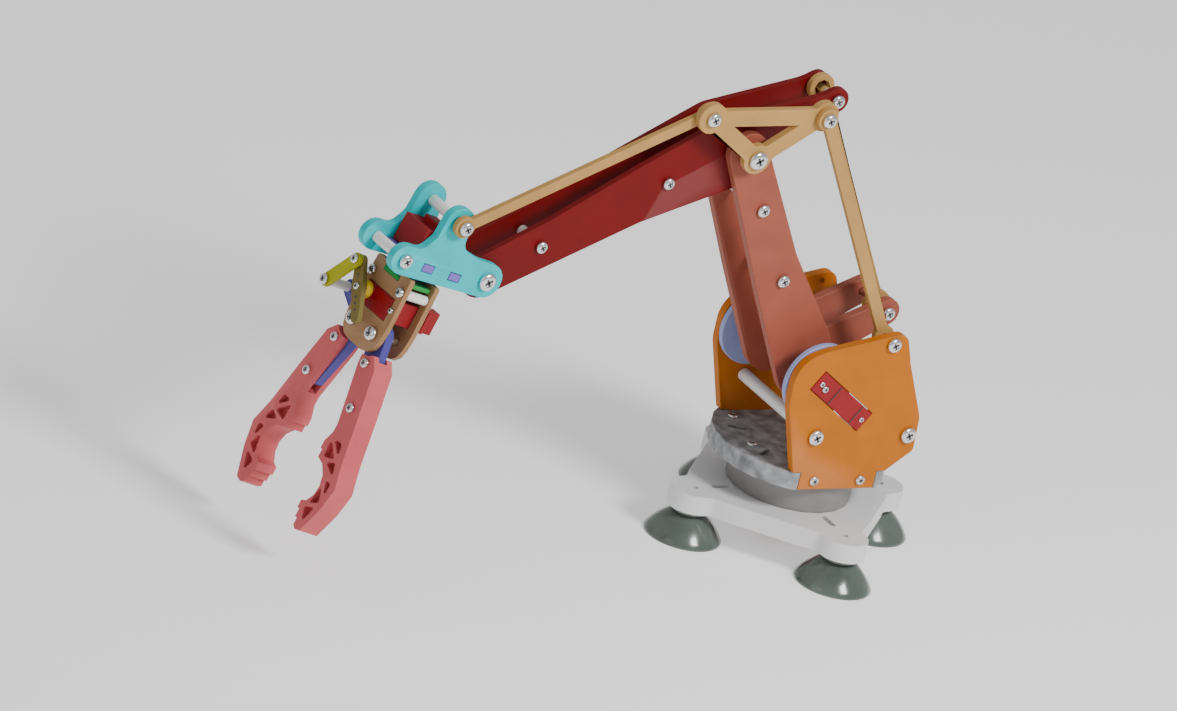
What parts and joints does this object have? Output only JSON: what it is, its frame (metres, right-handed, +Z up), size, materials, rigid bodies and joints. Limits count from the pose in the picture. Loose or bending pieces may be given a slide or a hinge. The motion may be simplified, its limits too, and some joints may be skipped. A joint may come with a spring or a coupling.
{
  "type": "desktop robot arm",
  "caption": "Desktop robot arm on suction cups, with a turntable, parallel-link forearm, level wrist and a two-finger gripper.",
  "frame": {"origin": "middle of the bounding box on the surface that the suction cups stand on", "axes": "+X forwards along the arm, +Z up, +Y to the arm's left"},
  "size_m": [0.4042, 0.1576, 0.2643],
  "materials": {
    "white": "smooth white coat",
    "cup": "glossy dark rubber",
    "collar": "satin grey",
    "disc": "mottled galvanised",
    "orange": "satin",
    "brown": "satin",
    "red": "satin",
    "tan": "satin",
    "cyan": "satin",
    "purple": "satin",
    "servo": "moulded",
    "steel": "polished screw",
    "rod": "off-white",
    "horn": "lilac",
    "olive": "satin",
    "green": "satin",
    "blue": "satin",
    "pink": "satin",
    "sand": "satin"
  },
  "bodies": {
    "base": {"base_plate": "white", "suction_cup_front": "cup", "suction_cup_left": "cup", "suction_cup_rear": "cup", "suction_cup_right": "cup", "pedestal_collar": "collar", "base_servo": "servo"},
    "turntable": {"turntable_disc": "disc", "side_plate_left": "orange", "side_plate_right": "orange", "side_rod_front": "rod", "side_rod_rear": "rod", "shoulder_servo": "servo", "lever_servo": "servo", "rear_link_screw": "steel"},
    "lower_arm": {"lower_arm_plate_left": "brown", "lower_arm_plate_right": "brown", "lower_arm_spacer_upper": "rod", "lower_arm_spacer_lower": "rod", "shoulder_horn": "horn", "elbow_axle": "steel"},
    "bellcrank": {"bellcrank": "tan", "bellcrank_pin_front": "steel", "bellcrank_pin_rear": "steel"},
    "rear_link": {"rear_link": "tan"},
    "forearm_link": {"forearm_link": "tan"},
    "lever": {"lever_plate_near": "brown", "lever_plate_far": "brown", "lever_horn": "horn"},
    "lever_pin": {"lever_pin": "steel"},
    "drive_link": {"drive_link": "tan"},
    "upper_arm": {"upper_arm_plate_left": "red", "upper_arm_plate_right": "red", "upper_arm_spacer_rear": "rod", "upper_arm_spacer_front": "rod", "drive_pin": "steel"},
    "wrist_frame": {"wrist_plate_left": "cyan", "wrist_plate_right": "cyan", "wrist_axle": "steel", "wrist_rod_front": "rod", "wrist_rod_top": "rod", "wrist_cross_plate": "purple", "wrist_servo": "servo"},
    "gripper": {"wrist_horn": "horn", "gripper_plate_front": "sand", "gripper_plate_back": "sand", "gripper_spacer_left": "rod", "gripper_spacer_right": "rod", "gear_pivot_left": "steel", "gear_pivot_right": "steel", "gripper_bracket": "green", "gripper_servo": "servo"},
    "finger_right": {"gear_arm_right": "blue", "finger_right": "pink", "grip_link_pin": "rod"},
    "finger_left": {"gear_arm_left": "blue", "finger_left": "pink"},
    "servo_arm": {"gripper_servo_arm": "olive"},
    "grip_link": {"grip_link": "olive"}
  },
  "joints": [
    {"name": "base_yaw", "type": "hinge", "parent": "base", "child": "turntable", "pos_m": [-0.12325, 0, 0.0445], "axis": [0, 0, 1], "range_deg": [-90, 90]},
    {"name": "shoulder", "type": "hinge", "parent": "turntable", "child": "lower_arm", "pos_m": [-0.10095, 0, 0.1041], "axis": [0, 1, 0], "range_deg": [-20, 30]},
    {"name": "bellcrank_level", "type": "hinge", "parent": "lower_arm", "child": "bellcrank", "pos_m": [-0.02915, 0, 0.231], "axis": [0, 1, 0], "range_deg": [-32, 22]},
    {"name": "elbow", "type": "hinge", "parent": "bellcrank", "child": "upper_arm", "pos_m": [-0.02915, 0, 0.231], "axis": [0, 1, 0], "range_deg": [-20, 20]},
    {"name": "rear_link_swing", "type": "hinge", "parent": "turntable", "child": "rear_link", "pos_m": [-0.13645, 0, 0.1281], "axis": [0, 1, 0], "range_deg": [-22, 32]},
    {"name": "lever_swing", "type": "hinge", "parent": "turntable", "child": "lever", "pos_m": [-0.10095, 0, 0.1041], "axis": [0, 1, 0], "range_deg": [-22, 22]},
    {"name": "lever_pin_level", "type": "hinge", "parent": "lever", "child": "lever_pin", "pos_m": [-0.15237, 0, 0.12985], "axis": [0, 1, 0], "range_deg": [-22, 22]},
    {"name": "drive_link_swing", "type": "hinge", "parent": "lever_pin", "child": "drive_link", "pos_m": [-0.15237, 0, 0.12985], "axis": [0, 1, 0], "range_deg": [-22, 32]},
    {"name": "forearm_link_swing", "type": "hinge", "parent": "bellcrank", "child": "forearm_link", "pos_m": [0.00565, 0, 0.2553], "axis": [0, 1, 0], "range_deg": [-24, 24]},
    {"name": "wrist_level", "type": "hinge", "parent": "upper_arm", "child": "wrist_frame", "pos_m": [0.11436, 0, 0.15913], "axis": [0, 1, 0], "range_deg": [-20, 20]},
    {"name": "wrist_roll", "type": "hinge", "parent": "wrist_frame", "child": "gripper", "pos_m": [0.15166, 0, 0.15767], "axis": [-0.284, 0, 0.9588], "range_deg": [-70, 70]},
    {"name": "grip", "type": "hinge", "parent": "gripper", "child": "finger_right", "pos_m": [0.17171, -0.0093, 0.12606], "axis": [0.9588, 0, 0.284], "range_deg": [-8, 12]},
    {"name": "grip_mirror", "type": "hinge", "parent": "gripper", "child": "finger_left", "pos_m": [0.17171, 0.0093, 0.12606], "axis": [0.9588, 0, 0.284], "range_deg": [-13, 9]},
    {"name": "servo_arm_swing", "type": "hinge", "parent": "gripper", "child": "servo_arm", "pos_m": [0.16683, -0.0075, 0.14255], "axis": [0.9588, 0, 0.284], "range_deg": [-15, 21]},
    {"name": "grip_link_swing", "type": "hinge", "parent": "servo_arm", "child": "grip_link", "pos_m": [0.16353, -0.0152, 0.15368], "axis": [0.9588, 0, 0.284], "range_deg": [-15, 11]}
  ],
  "couplings": [
    {"joint": "bellcrank_level", "follows": "shoulder", "ratio": -1},
    {"joint": "rear_link_swing", "follows": "shoulder", "ratio": 1},
    {"joint": "drive_link_swing", "follows": "shoulder", "ratio": 1},
    {"joint": "lever_swing", "follows": "elbow", "ratio": 1},
    {"joint": "lever_pin_level", "follows": "elbow", "ratio": -1},
    {"joint": "forearm_link_swing", "follows": "elbow", "ratio": 1.0913},
    {"joint": "wrist_level", "follows": "elbow", "ratio": -0.8755},
    {"joint": "grip_mirror", "follows": "grip", "ratio": -1},
    {"joint": "servo_arm_swing", "follows": "grip", "ratio": 1.64},
    {"joint": "grip_link_swing", "follows": "grip", "ratio": -1.14}
  ]
}
